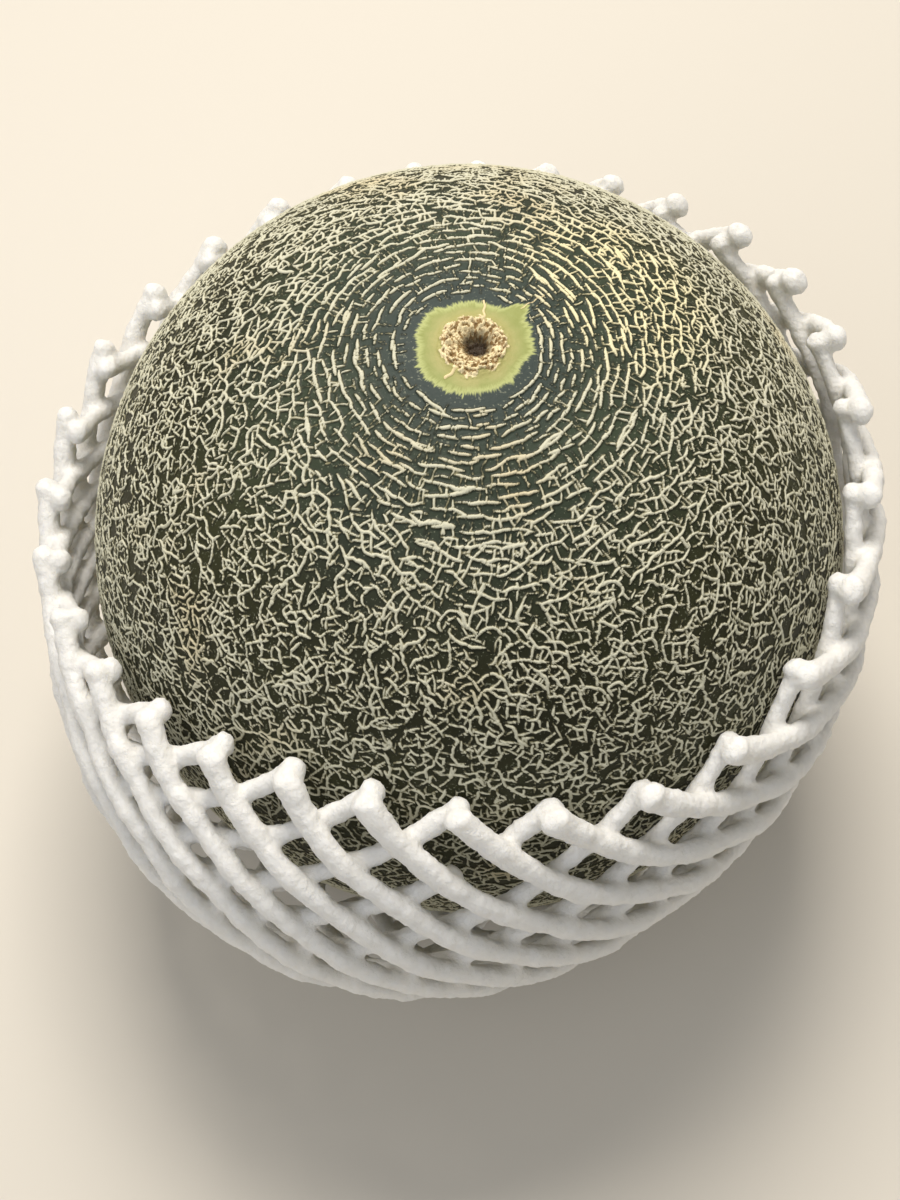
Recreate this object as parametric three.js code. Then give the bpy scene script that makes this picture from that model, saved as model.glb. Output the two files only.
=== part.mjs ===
// A netted melon, stem end up, in the white foam net that it is sold in.
// Millimetres, +Z up. The origin is the centre of the small flat spot that the melon stands on.
// The net is a sleeve of foam strands in two crossing sets, open above and below, that hugs the
// melon on one side and hangs slack on the other.
import * as THREE from 'three';

// Melon
const MELON_DIAMETER = 144;
const FLAT_SPOT_RADIUS = 12;
const SCAR_RING_RADIUS = 6.5;
const SCAR_RING_CREST_RADIUS = 4.8;
const SCAR_RING_RISE = 0.8;
const SCAR_HOLLOW_RADIUS = 3;
const SCAR_HOLLOW_FLOOR_RADIUS = 1.6;
const SCAR_HOLLOW_DEPTH = 2.5;
const MELON_SEGMENTS = 48;
const MELON_ARC_STEPS = 28;

// Foam net: sizes
const NET_GAP = 0.3;
const NET_THICKNESS = 6;
const STRAND_WIDTH = 4.1;
const STRAND_PAIRS = 30;
const CROSSING_ROWS = 16;
const TIP_LENGTH = 2;
// Where strands are pressed together, this share of the space between crossings is still foam.
const CLOSEST_FOAM_SHARE = 0.84;

// Foam net: its lie on the melon. Azimuths are in degrees from +X, seen from above.
const FIRST_STRAND_AZIMUTH = 348.3;
const SPREAD_ONE_SIDE = { angle: 9.2, azimuth: 309.5 };
const SPREAD_TWO_SIDES = { angle: 3.3, azimuth: 333 };
const RIM_LATITUDE = 14.9;
const RIM_TILT = { angle: 11.9, azimuth: 296 };
const RIM_TWO_WAVES = { angle: 2.6, azimuth: 229.5 };
const RIM_THREE_WAVES = { angle: 2.4, azimuth: 6 };
const RIM_FLARE = { height: 3.4, azimuth: 111.5 };
const SLACK = { height: 11.5, azimuth: 246, narrowness: 5.5 };
const BUNCHING = { share: 0.18, azimuth: 215, narrowness: 3 };

const melonRadius = MELON_DIAMETER / 2;
const centreHeight = Math.sqrt(melonRadius ** 2 - FLAT_SPOT_RADIUS ** 2);
const radians = THREE.MathUtils.degToRad;

// The height above the melon's centre of a point on the round skin at this distance from the axis.
function skinHeight(distance) {
  return Math.sqrt(melonRadius ** 2 - distance ** 2);
}

function makeMelon() {
  const ringEdge = centreHeight + skinHeight(SCAR_RING_RADIUS);
  const crest = centreHeight + skinHeight(SCAR_RING_CREST_RADIUS) + SCAR_RING_RISE;
  const lip = centreHeight + skinHeight(SCAR_HOLLOW_RADIUS);
  const arcStart = Math.asin(-centreHeight / melonRadius);
  const arcEnd = Math.acos(SCAR_RING_RADIUS / melonRadius);
  const profile = [new THREE.Vector2(0, 0)];
  for (let step = 0; step < MELON_ARC_STEPS; step += 1) {
    const latitude = THREE.MathUtils.lerp(arcStart, arcEnd, step / MELON_ARC_STEPS);
    const height = centreHeight + melonRadius * Math.sin(latitude);
    profile.push(new THREE.Vector2(melonRadius * Math.cos(latitude), step === 0 ? 0 : height));
  }
  profile.push(new THREE.Vector2(SCAR_RING_RADIUS, ringEdge));
  profile.push(new THREE.Vector2(SCAR_RING_CREST_RADIUS, crest));
  profile.push(new THREE.Vector2(SCAR_HOLLOW_RADIUS, lip));
  profile.push(new THREE.Vector2(SCAR_HOLLOW_FLOOR_RADIUS, lip - SCAR_HOLLOW_DEPTH));
  profile.push(new THREE.Vector2(0, lip - SCAR_HOLLOW_DEPTH));
  const geometry = new THREE.LatheGeometry(profile, MELON_SEGMENTS);
  geometry.rotateX(Math.PI / 2);
  const skin = new THREE.MeshStandardMaterial({ color: 0x5a6048, roughness: 0.62, metalness: 0 });
  const mesh = new THREE.Mesh(geometry, skin);
  mesh.name = 'melon';
  return mesh;
}

// A size that swings this many times round the melon: its swing, -1 to 1, at an azimuth in radians.
function swing(azimuth, wave, times = 1) {
  return Math.cos(times * (azimuth - radians(wave.azimuth)));
}

// Strands are spread further apart on some sides of the melon than on others.
function strandAzimuth(strand) {
  const even = radians(FIRST_STRAND_AZIMUTH) + (2 * Math.PI * strand) / STRAND_PAIRS;
  const oneSide = Math.sin(even - radians(SPREAD_ONE_SIDE.azimuth));
  const twoSides = Math.sin(2 * (even - radians(SPREAD_TWO_SIDES.azimuth)));
  return even + radians(SPREAD_ONE_SIDE.angle * oneSide + SPREAD_TWO_SIDES.angle * twoSides);
}

// The net ends below where its outer side comes down to the table.
function lowestLatitude() {
  return Math.asin(-centreHeight / (melonRadius + NET_GAP + NET_THICKNESS));
}

// The latitude of the net's rim on the melon.
function rimLatitude(azimuth) {
  const tilt = RIM_TILT.angle * swing(azimuth, RIM_TILT);
  const twoWaves = RIM_TWO_WAVES.angle * swing(azimuth, RIM_TWO_WAVES, 2);
  const threeWaves = RIM_THREE_WAVES.angle * swing(azimuth, RIM_THREE_WAVES, 3);
  return radians(RIM_LATITUDE + tilt + twoWaves + threeWaves);
}

// How far the net's inside stands off the skin, from the rim (fall 0) to the lower end (fall 1).
function standOff(azimuth, fall) {
  const side = ((1 + swing(azimuth, SLACK)) / 2) ** SLACK.narrowness;
  const hang = Math.sin(Math.PI * THREE.MathUtils.clamp(fall, 0, 1));
  const flare = RIM_FLARE.height * (1 + swing(azimuth, RIM_FLARE)) * (1 - fall) ** 2;
  return SLACK.height * side * hang + flare;
}

// How far down the melon a place in the net lies. On one side its upper rows are bunched together.
function wayDown(azimuth, fall) {
  const side = ((1 + swing(azimuth, BUNCHING)) / 2) ** BUNCHING.narrowness;
  const middle = Math.sin(Math.PI * THREE.MathUtils.clamp(fall, 0, 1)) ** 2;
  return fall - BUNCHING.share * side * middle;
}

// A point of the net: depth -1 is its inside, 0 the middle of the foam and 1 its outside.
function netPoint(strand, fall, depth) {
  const azimuth = strandAzimuth(strand);
  const down = wayDown(azimuth, fall);
  const latitude = THREE.MathUtils.lerp(rimLatitude(azimuth), lowestLatitude(), down);
  const outward = new THREE.Vector3().setFromSphericalCoords(1, Math.PI / 2 - latitude, azimuth);
  // three.js spherical coordinates stand on Y: x and y come from its z and x, and z from its y.
  outward.set(outward.z, outward.x, outward.y);
  const halfThickness = NET_THICKNESS / 2;
  const middle = melonRadius + NET_GAP + halfThickness + standOff(azimuth, fall);
  const point = outward.clone().multiplyScalar(middle);
  point.z = Math.max(point.z + centreHeight, halfThickness);
  return point.addScaledVector(outward, depth * halfThickness);
}

// The four corners of a crossing in the net's own coordinates: north is towards the rim.
function crossingCorners(column, row) {
  const strand = column + (row % 2) / 2;
  const rowFall = 1 / CROSSING_ROWS;
  const fall = row * rowFall;
  const here = netPoint(strand, fall, 0);
  const pitch = here.distanceTo(netPoint(strand + 1, fall, 0));
  const rowSpacing = here.distanceTo(netPoint(strand, fall + rowFall, 0));
  const slope = Math.atan2(rowSpacing, pitch / 2);
  const across = Math.min(STRAND_WIDTH / (2 * Math.sin(slope)) / pitch, CLOSEST_FOAM_SHARE / 2);
  const along = Math.min(STRAND_WIDTH / (2 * Math.cos(slope)) / rowSpacing, CLOSEST_FOAM_SHARE);
  const tip = row === 0 ? TIP_LENGTH / rowSpacing : 0;
  return {
    north: [strand, fall - (along + tip) * rowFall],
    west: [strand - across, fall],
    south: [strand, fall + along * rowFall],
    east: [strand + across, fall],
  };
}

function makeFoamNet() {
  const corners = ['north', 'west', 'south', 'east'];
  const outside = [];
  const inside = [];
  for (let row = 0; row < CROSSING_ROWS; row += 1) {
    for (let column = 0; column < STRAND_PAIRS; column += 1) {
      const crossing = crossingCorners(column, row);
      for (const corner of corners) {
        const [strand, fall] = crossing[corner];
        outside.push(netPoint(strand, fall, 1));
        inside.push(netPoint(strand, fall, -1));
      }
    }
  }
  const vertex = (column, row, corner) => {
    const wrapped = (column + STRAND_PAIRS) % STRAND_PAIRS;
    return (row * STRAND_PAIRS + wrapped) * corners.length + corners.indexOf(corner);
  };

  // The outer faces: a patch at each crossing, and a strand down to each side of it.
  const patches = [];
  for (let row = 0; row < CROSSING_ROWS; row += 1) {
    for (let column = 0; column < STRAND_PAIRS; column += 1) {
      patches.push(corners.map((corner) => vertex(column, row, corner)));
      if (row < CROSSING_ROWS - 1) {
        const right = column + (row % 2);
        const left = right - 1;
        patches.push([
          vertex(column, row, 'east'), vertex(column, row, 'south'),
          vertex(right, row + 1, 'west'), vertex(right, row + 1, 'north'),
        ]);
        patches.push([
          vertex(column, row, 'west'), vertex(left, row + 1, 'north'),
          vertex(left, row + 1, 'east'), vertex(column, row, 'south'),
        ]);
      }
    }
  }

  // The same faces inside, turned over, and a wall along every edge that only one face has.
  const count = outside.length;
  const triangles = [];
  const addQuad = (a, b, c, d) => triangles.push(a, b, c, a, c, d);
  const edges = new Set();
  for (const patch of patches) {
    addQuad(...patch);
    addQuad(...patch.map((index) => index + count).reverse());
    patch.forEach((from, place) => edges.add(`${from} ${patch[(place + 1) % patch.length]}`));
  }
  for (const edge of edges) {
    const [from, to] = edge.split(' ').map(Number);
    if (!edges.has(`${to} ${from}`)) {
      addQuad(to, from, from + count, to + count);
    }
  }

  const geometry = new THREE.BufferGeometry().setFromPoints([...outside, ...inside]);
  geometry.setIndex(triangles);
  geometry.computeVertexNormals();
  const foam = new THREE.MeshStandardMaterial({ color: 0xf1f0ec, roughness: 0.75, metalness: 0 });
  const mesh = new THREE.Mesh(geometry, foam);
  mesh.name = 'foam_net';
  return mesh;
}

const melonInNet = new THREE.Group();
melonInNet.add(makeMelon(), makeFoamNet());

export default melonInNet;
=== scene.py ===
# %% [markdown]
# # A netted melon in its foam fruit net
# A netted muskmelon stands stem end up in the white foam net it is sold in. This file makes
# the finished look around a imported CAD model: the model gives the sizes and places, and each
# cell below makes one piece or one finish and prints what it made. Lengths are in metres, as
# Blender has them, and MM turns millimetres into metres.

# %% Load the frame
import math

import bpy
import numpy as np
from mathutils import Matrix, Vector, noise
from mathutils.kdtree import KDTree

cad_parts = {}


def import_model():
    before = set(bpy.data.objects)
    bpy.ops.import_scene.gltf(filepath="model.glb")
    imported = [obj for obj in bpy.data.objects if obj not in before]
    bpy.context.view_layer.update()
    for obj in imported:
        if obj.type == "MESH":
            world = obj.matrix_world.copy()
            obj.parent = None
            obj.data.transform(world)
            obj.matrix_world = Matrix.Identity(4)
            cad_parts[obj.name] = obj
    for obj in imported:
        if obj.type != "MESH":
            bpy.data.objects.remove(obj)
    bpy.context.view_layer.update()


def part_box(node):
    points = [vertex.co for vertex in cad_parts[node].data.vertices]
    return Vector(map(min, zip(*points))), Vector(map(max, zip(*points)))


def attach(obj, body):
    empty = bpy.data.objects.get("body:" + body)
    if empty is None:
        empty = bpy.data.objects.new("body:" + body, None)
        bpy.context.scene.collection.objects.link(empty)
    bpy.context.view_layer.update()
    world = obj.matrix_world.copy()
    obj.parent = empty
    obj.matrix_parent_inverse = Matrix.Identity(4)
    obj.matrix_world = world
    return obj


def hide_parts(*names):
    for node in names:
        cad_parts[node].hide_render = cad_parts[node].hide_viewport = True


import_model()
MM = 0.001

# %% Sizes from the frame
melon_low, melon_high = (np.array(corner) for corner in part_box("melon"))
MELON_R = float(melon_high[0] - melon_low[0]) / 2
FLAT_SPOT_R = 12 * MM
# The flat spot is cut from a ball, so the ball's middle stands a little lower than its radius.
CENTRE_Z = math.sqrt(MELON_R**2 - FLAT_SPOT_R**2)
CENTRE = np.array([0, 0, CENTRE_Z])
print(f"melon {2000 * MELON_R:.1f} mm across, centre {1000 * CENTRE_Z:.1f} mm above the table")

# %% [markdown]
# ## Helpers
# Paint charts give colours as sRGB hex values, but shaders work with linear light, so one
# function turns one into the other. Another adds a shader node with its settings and links,
# which keeps every material below short enough to read. The rest are the few moves that the
# materials are made of: a soft step, one colour over another, a sum, and fine noise in space.

# %% Colour and node helpers
def linear(hex_colour):
    """An sRGB hex colour such as "#e8e4dc" as the linear RGBA that shaders take."""
    channels = [int(hex_colour[place : place + 2], 16) / 255 for place in (1, 3, 5)]
    return [c / 12.92 if c <= 0.04045 else ((c + 0.055) / 1.055) ** 2.4 for c in channels] + [1.0]


def add_node(tree, kind, settings=None, **inputs):
    """
    A shader node: settings are its own properties, inputs are values or other nodes' sockets.
    An input is called by its name, with _ for a space, or by its number, such as _0.
    """
    node = tree.nodes.new("ShaderNode" + kind)
    for name, value in (settings or {}).items():
        setattr(node, name, value)
    for name, value in inputs.items():
        key = int(name[1:]) if name[0] == "_" else name.replace("_", " ")
        if isinstance(value, bpy.types.NodeSocket):
            tree.links.new(value, node.inputs[key])
        else:
            node.inputs[key].default_value = value
    return node


def new_material(name):
    """An empty node material and its output node."""
    material = bpy.data.materials.new(name)
    material.use_nodes = True
    material.node_tree.nodes.clear()
    output = add_node(material.node_tree, "OutputMaterial")
    return material, material.node_tree, output


def blend_ramp(tree, value, low, high):
    """0 at low, 1 at high, and a soft step between them."""
    soft = {"interpolation_type": "SMOOTHSTEP"}
    return add_node(tree, "MapRange", soft, Value=value, From_Min=low, From_Max=high).outputs[0]


def mix_colours(tree, share, below, above):
    """One colour laid over another: share 0 shows below and 1 shows above."""
    node = add_node(tree, "Mix", {"data_type": "RGBA"}, _0=share)
    for socket, colour in ((node.inputs[6], below), (node.inputs[7], above)):
        if isinstance(colour, bpy.types.NodeSocket):
            tree.links.new(colour, socket)
        else:
            socket.default_value = linear(colour)
    return node.outputs[2]


def calculate(tree, operation, *values):
    """A Math node on numbers or sockets."""
    inputs = {f"_{place}": value for place, value in enumerate(values)}
    return add_node(tree, "Math", {"operation": operation}, **inputs).outputs[0]


def attribute(tree, name):
    """A number that the mesh carries at each corner."""
    return add_node(tree, "Attribute", {"attribute_name": name}).outputs["Fac"]


def speckle(tree, place, scale, detail=2.0, roughness=0.5):
    """Fine noise in space, its scale in waves per metre."""
    noise_inputs = {"Scale": scale, "Detail": detail, "Roughness": roughness}
    return add_node(tree, "TexNoise", Vector=place, **noise_inputs).outputs[0]


# %% [markdown]
# ## Camera, table and light
# The melon is seen from high in front, as when it stands on a table and we look down at it.
# A 60 mm lens a little way off gives natural proportions. The table is a plain pale plane, and
# one large soft lamp high at the back does most of the work, so that the shadow falls forward
# and the relief of the netting shows.

# %% Camera
VIEW_DOWN = math.radians(65.4)
LENS_MM, SENSOR_MM = 60, 36
DISTANCE = 5.44 * MELON_R
camera_data = bpy.data.cameras.new("camera")
camera_data.lens = LENS_MM
camera_data.sensor_width = SENSOR_MM
camera = bpy.data.objects.new("camera", camera_data)
bpy.context.scene.collection.objects.link(camera)
bpy.context.scene.camera = camera

# The melon's middle lies this far to the right of the line of sight and above it, as slopes.
ASIDE, ABOVE = 0.0085, 0.0295
forward = Vector((0, math.cos(VIEW_DOWN), -math.sin(VIEW_DOWN)))
right = Vector((1, 0, 0))
upward = right.cross(forward)
sight = (forward + ASIDE * right + ABOVE * upward).normalized()
camera.location = Vector(CENTRE) - DISTANCE * sight
camera.rotation_euler = (math.pi / 2 - VIEW_DOWN, 0, 0)
print("camera at", [round(value, 3) for value in camera.location])

# %% Table
def flat_plane(name, size, height):
    """A square plane of this size, centred below the object."""
    half = size / 2
    corners = [(-half, -half, height), (half, -half, height), (half, half, height), (-half, half, height)]
    mesh = bpy.data.meshes.new(name)
    mesh.from_pydata(corners, [], [(0, 1, 2, 3)])
    plane = bpy.data.objects.new(name, mesh)
    bpy.context.scene.collection.objects.link(plane)
    return plane


# The plane lies a hair below the flat spot, so that the two faces never fight for one place.
TABLE_SIZE, TABLE_HEIGHT = 6.0, -0.1 * MM
table = flat_plane("table", TABLE_SIZE, TABLE_HEIGHT)

# Matt pale board: two tones a shade apart give a calm ground that takes a soft shadow.
material, tree, output = new_material("pale_table")
grain = add_node(tree, "TexNoise", Scale=9.0, Detail=3.0)
tone = mix_colours(tree, grain.outputs[0], "#d3cdc1", "#d8d2c7")
coat = add_node(tree, "BsdfPrincipled", Base_Color=tone, Roughness=0.6)
tree.links.new(coat.outputs[0], output.inputs[0])
table.data.materials.append(material)
print("table", TABLE_SIZE, "m across")

# %% Light
def soft_lamp(name, place, size, watts, colour):
    """A square area lamp that faces the melon."""
    data = bpy.data.lights.new(name, "AREA")
    data.size = size
    data.energy = watts
    data.color = linear(colour)[:3]
    lamp = bpy.data.objects.new(name, data)
    lamp.location = place
    lamp.rotation_euler = (Vector(CENTRE) - Vector(place)).to_track_quat("-Z", "Y").to_euler()
    bpy.context.scene.collection.objects.link(lamp)


ROOM_LIGHT = 0.42
soft_lamp("window_lamp", place=(-0.06, 0.58, 1.16), size=0.55, watts=16, colour="#fff8ee")
soft_lamp("fill_lamp", place=(-0.5, -0.6, 0.9), size=1.0, watts=3.0, colour="#f4f7ff")
world = bpy.data.worlds.new("studio")
world.use_nodes = True
background = world.node_tree.nodes["Background"]
background.inputs["Color"].default_value = linear("#ecebe8")
background.inputs["Strength"].default_value = ROOM_LIGHT
bpy.context.scene.world = world
bpy.context.scene.view_settings.view_transform = "Standard"
print("2 lamps and a pale room")

# %% [markdown]
# ## How the netting grows
# The cream net on a muskmelon is cork. While the fruit swells, its skin cracks, and the plant
# heals each crack with a raised line of cork. Round the stem the skin stretches one way, so
# the cracks are short arcs round the scar. Further down it stretches both ways and the cracks
# run into each other as a mesh with many loose ends. A texture can't give those junctions, so
# the cracks are grown here: many tips creep over the sphere together, each keeps its heading
# with a little wander, and a tip stops where it meets an older crack.
#
# A tip has to know quickly what is near it. The sphere is wrapped in the six faces of a cube,
# each ruled into small cells, and each cell remembers which crack has been through it.

# %% A sphere as the six faces of a cube
def cube_place(directions):
    """For unit vectors: the cube face each falls on, and its two places there, from -1 to 1."""
    axis = np.abs(directions).argmax(1)
    rows = np.arange(len(directions))
    main = directions[rows, axis]
    across = directions[rows, (axis + 1) % 3]
    along = directions[rows, (axis + 2) % 3]
    face = 2 * axis + (main < 0)
    spread = 4 / math.pi
    return face, spread * np.arctan(across / np.abs(main)), spread * np.arctan(along / np.abs(main))


def cube_direction(face, across, along):
    """The unit vector at this place on a cube face, the reverse of cube_place."""
    axis = face // 2
    rows = np.arange(len(across))
    directions = np.empty((len(across), 3))
    directions[rows, axis] = np.where(face % 2, -1.0, 1.0)
    directions[rows, (axis + 1) % 3] = np.tan(across * math.pi / 4)
    directions[rows, (axis + 2) % 3] = np.tan(along * math.pi / 4)
    return directions / np.linalg.norm(directions, axis=1, keepdims=True)


CELLS = 600


def cell_of(directions):
    """The number of the small cell that each direction falls in."""
    face, across, along = cube_place(directions)
    column = np.clip(((across + 1) / 2 * CELLS).astype(int), 0, CELLS - 1)
    row = np.clip(((along + 1) / 2 * CELLS).astype(int), 0, CELLS - 1)
    return (face * CELLS + column) * CELLS + row


def unit(vectors):
    """The same vectors with length 1."""
    return vectors / np.maximum(np.linalg.norm(vectors, axis=1, keepdims=True), 1e-9)


print(f"cells about {1000 * MELON_R * math.pi / 2 / CELLS:.2f} mm wide")

# %% The skin's directions
random = np.random.default_rng(7)
WAVES = 24
wave_axes = random.normal(size=(WAVES, 3))
wave_shifts = random.uniform(0, 2 * math.pi, WAVES)
# This brings most of the waves' sum within -1 to 1.
WAVE_SPREAD = 1.6


def smooth_noise(directions, waves_round):
    """A gentle random field on the sphere, about -1 to 1, with this many waves round it."""
    angles = directions @ wave_axes.T * waves_round + wave_shifts
    return np.cos(angles).sum(1) / math.sqrt(WAVES / 2) / WAVE_SPREAD


def round_the_stem(directions):
    """The direction that runs in a ring round the stem, at each point."""
    return unit(np.stack([-directions[:, 1], directions[:, 0], 0 * directions[:, 0]], 1))


def from_stem_mm(directions):
    """Distance over the skin from the very top, close to the scar's middle, in millimetres."""
    return np.arccos(np.clip(directions[:, 2], -1, 1)) * MELON_R / MM


# The cracks follow rings up to three quarters of this reach, and not at all past one and three
# quarters of it. The reach wavers by a few millimetres, and it is longest on the right.
RINGS_REACH_MM, RINGS_WAVER_MM, RINGS_LEAN_MM = 35, 6, 11
RINGS_GONE = 1.75


def grain_strength(directions):
    """1 where cracks follow rings round the stem, falling to 0 where they run any way."""
    reach = RINGS_REACH_MM + RINGS_WAVER_MM * smooth_noise(directions, 2.0) + RINGS_LEAN_MM * directions[:, 0]
    return np.clip(RINGS_GONE - from_stem_mm(directions) / reach, 0.0, 1.0)


# How far from the stem the cracks begin to join up, and over how many millimetres they all do.
BARE_TO_MM, BARE_FADE_MM = 36, 16


def bareness(directions):
    """1 round the stem, where cracks stay short and apart, falling to 0 where they join up."""
    return np.clip((BARE_TO_MM - from_stem_mm(directions)) / BARE_FADE_MM, 0.0, 1.0)


full_mm, gone_mm = (RINGS_GONE - 1) * RINGS_REACH_MM, RINGS_GONE * RINGS_REACH_MM
print(f"rings rule the cracks to about {full_mm:.0f} mm from the stem, and are gone by {gone_mm:.0f} mm")

# %% What is already cracked
# A tip creeps this far at each step, and the trail it leaves is this wide on either side.
STEP_MM, TRAIL_MM = 0.3, 0.14
step_angle = STEP_MM * MM / MELON_R
occupied = np.zeros(6 * CELLS * CELLS, np.int32)
cracks = {"place": [], "heading": [], "tip": [], "order": [], "half_width": [], "owner": []}
tip_length = []
tip_joined = []


def is_free(directions, ahead, sideways, reach_mm):
    """True where no crack lies within reach, looking at a ring of spots round each point."""
    free = np.ones(len(directions), bool)
    for turn in np.linspace(0, 2 * math.pi, 12, endpoint=False):
        offset = math.cos(turn) * ahead + math.sin(turn) * sideways
        for share in (0.35, 0.7, 1.0):
            spot = unit(directions + offset * reach_mm[:, None] * share * MM / MELON_R)
            free &= occupied[cell_of(spot)] == 0
    return free


def mark(here, there, side, owner):
    """Writes a crack's number into the cells of its last step, three cells wide so none leaks."""
    for spot in (there, unit(here + there)):
        for hand in (-1, 0, 1):
            occupied[cell_of(unit(spot + hand * side * (TRAIL_MM * MM / MELON_R)))] = owner


def record(*step):
    """Keeps one more step of some cracks: their places, headings, tips and so on, in order."""
    for values, kept in zip(step, cracks.values()):
        kept.append(values)


print(len(occupied), "cells, all free,", STEP_MM, "mm to a step")

# %% Grow cracks from their tips
# A tip looks this many steps ahead for a crack to meet, and bridges the last gap when it does.
LOOK_AHEAD = (0.0, 0.6, 1.2, 1.8)
BRIDGE_STEPS = 1.2
# It can't meet its own parent while it leaves it, and it often stops when a crack runs close by.
LEAVING_STEPS = 4
CROWDED_STOPS = 0.3
# Where the rings are strong, a tip wanders this much less.
RING_CALM = 0.6


def grow(starts, headings, lengths_mm, half_widths, owners, parents, wander, crowding_mm, fidelity):
    """Creep from each start until its length is used up, it meets a crack, or it is crowded."""
    place = starts.copy()
    heading = headings.copy()
    first_tip = len(tip_length)
    tips = first_tip + np.arange(len(starts))
    tip_length.extend([0] * len(starts))
    tip_joined.extend([False] * len(starts))
    alive = np.arange(len(starts))
    for order in range(int(lengths_mm.max() / STEP_MM) + 1):
        alive = alive[lengths_mm[alive] > order * STEP_MM]
        if not len(alive):
            break
        here, way = place[alive], heading[alive]
        ring = round_the_stem(here)
        side = np.cross(here, way)
        grain = grain_strength(here)[:, None]
        ring = ring * np.sign((ring * way).sum(1, keepdims=True))
        turn = random.normal(0, wander, (len(alive), 1)) * (1 - RING_CALM * grain)
        way = way + fidelity * grain * ring + turn * side
        way = unit(way - (way * here).sum(1, keepdims=True) * here)
        there = unit(here + way * step_angle)
        side = np.cross(there, way)
        own, parent = owners[alive], parents[alive]
        leaving = order < LEAVING_STEPS
        met = np.zeros(len(alive), bool)
        for ahead in LOOK_AHEAD:
            seen = occupied[cell_of(unit(there + way * step_angle * ahead))]
            met |= (seen != 0) & (seen != own) & ~(leaving & (seen == parent))
        crowded = np.zeros(len(alive), bool)
        for hand in (-1, 1):
            spot = unit(there + hand * side * (crowding_mm * MM / MELON_R))
            seen = occupied[cell_of(spot)]
            crowded |= (seen != 0) & (seen != own)
        crowded &= (order > LEAVING_STEPS) & (random.uniform(size=len(alive)) < CROWDED_STOPS)
        record(there, way, tips[alive], np.full(len(alive), order), half_widths[alive], own)
        for tip in tips[alive]:
            tip_length[tip] += 1
        joining = alive[met]
        if len(joining):
            bridge = unit(there[met] + way[met] * step_angle * BRIDGE_STEPS)
            last = np.full(len(joining), order + 1)
            record(bridge, way[met], tips[joining], last, half_widths[joining], own[met])
            for tip in tips[joining]:
                tip_joined[tip] = True
        place[alive], heading[alive] = there, way
        mark(here, there, side, own)
        alive = alive[~(met | crowded)]


# %% First cracks: arcs and long wandering lines
SCAR_CLEAR_MM = 11.4
LONGEST_MM, LENGTH_SPREAD, WIDTH_SPREAD = 14, 0.45, 0.12
# Seeds keep to the rings where these are strong, and take any heading where they aren't.
RING_HOLD, HEADING_SPREAD = 1.3, 0.09
# A long crack wanders and is drawn back to the ring it is near. A tick across isn't drawn back.
FIRST_WANDER, RING_PULL, FIRST_CROWDING_MM = 0.38, 0.3, 1.0
# Two seeds of one batch can't lie in one spot, which is this many times their spacing across.
SPOT_SHARE = 1.4
# Ring cracks are a little wider than the others. The first few rings are made of short ones.
RING_WIDENING = 0.14
SHORTENED_TO_MM, SHORTENED_FADE_MM, SHORTEST_SHARE = 12, 10, 0.55
# Fine ticks across the rings are only seeded where the rings are at least this strong.
TICKS_FROM = 0.35
next_owner = 1


def random_directions(count):
    """Points spread evenly at random over the sphere."""
    return unit(random.normal(size=(count, 3)))


def first_in_each_spot(places, spot_mm):
    """Which seeds to keep, so that those that landed together don't start on top of each other."""
    spot = np.round(places * MELON_R / (spot_mm * MM)).astype(int)
    return np.sort(np.unique(spot, axis=0, return_index=True)[1])


def start_first_cracks(count, spacing_mm, ring_spacing_mm, mean_mm, half_width, across=False):
    """Seeds cracks where there is room, then grows each both ways, along or across the rings."""
    global next_owner
    seeds = random_directions(count)
    seeds = seeds[from_stem_mm(seeds) > SCAR_CLEAR_MM]
    strength = grain_strength(seeds)
    ring = round_the_stem(seeds)
    outward = np.cross(ring, seeds)
    turn = random.uniform(0, math.pi, len(seeds)) * (1 - np.minimum(RING_HOLD * strength, 1))
    turn += random.normal(0, HEADING_SPREAD, len(seeds)) + (math.pi / 2 if across else 0)
    way = unit(np.cos(turn)[:, None] * ring + np.sin(turn)[:, None] * outward)
    side = np.cross(seeds, way)
    reach = spacing_mm + (ring_spacing_mm - spacing_mm) * strength
    keep = is_free(seeds, way, side, reach)
    if across:
        keep &= strength > TICKS_FROM
    seeds, way, strength = seeds[keep], way[keep], strength[keep]
    first = first_in_each_spot(seeds, spacing_mm * SPOT_SHARE)
    seeds, way, strength = seeds[first], way[first], strength[first]
    owners = next_owner + np.arange(len(seeds))
    next_owner += len(seeds)
    both = np.concatenate([seeds, seeds])
    lengths = random.lognormal(np.log(mean_mm), LENGTH_SPREAD, 2 * len(seeds))
    widths = random.normal(half_width, WIDTH_SPREAD * half_width, 2 * len(seeds))
    widths = widths * (1 + RING_WIDENING * np.tile(strength, 2))
    near_stem = (from_stem_mm(both) - SHORTENED_TO_MM) / SHORTENED_FADE_MM
    lengths = np.minimum(lengths, LONGEST_MM) * np.clip(near_stem, SHORTEST_SHARE, 1)
    owners = np.tile(owners, 2)
    grow(both, np.concatenate([way, -way]), lengths, widths, owners, owners,
         FIRST_WANDER, FIRST_CROWDING_MM, fidelity=0.0 if across else RING_PULL)


# Each stage fills the room that the last one left: the least distance to another crack in the
# mesh and between rings, the mean length each way and half the width, all in millimetres, and
# how many seeds are tried in each batch.
BATCHES = 5
STAGES = (
    (2.4, 1.5, 2.6, 0.27, 3500),
    (1.8, 1.25, 2.0, 0.25, 7000),
    (1.4, 1.15, 1.5, 0.23, 9000),
    (1.2, 1.0, 1.2, 0.21, 5000),
)
for spacing, ring_spacing, mean_length, half_width, count in STAGES:
    for batch in range(BATCHES):
        start_first_cracks(count, spacing, ring_spacing, mean_length, half_width)
print(next_owner - 1, "first cracks", sum(len(part) for part in cracks["place"]), "points")

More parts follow.
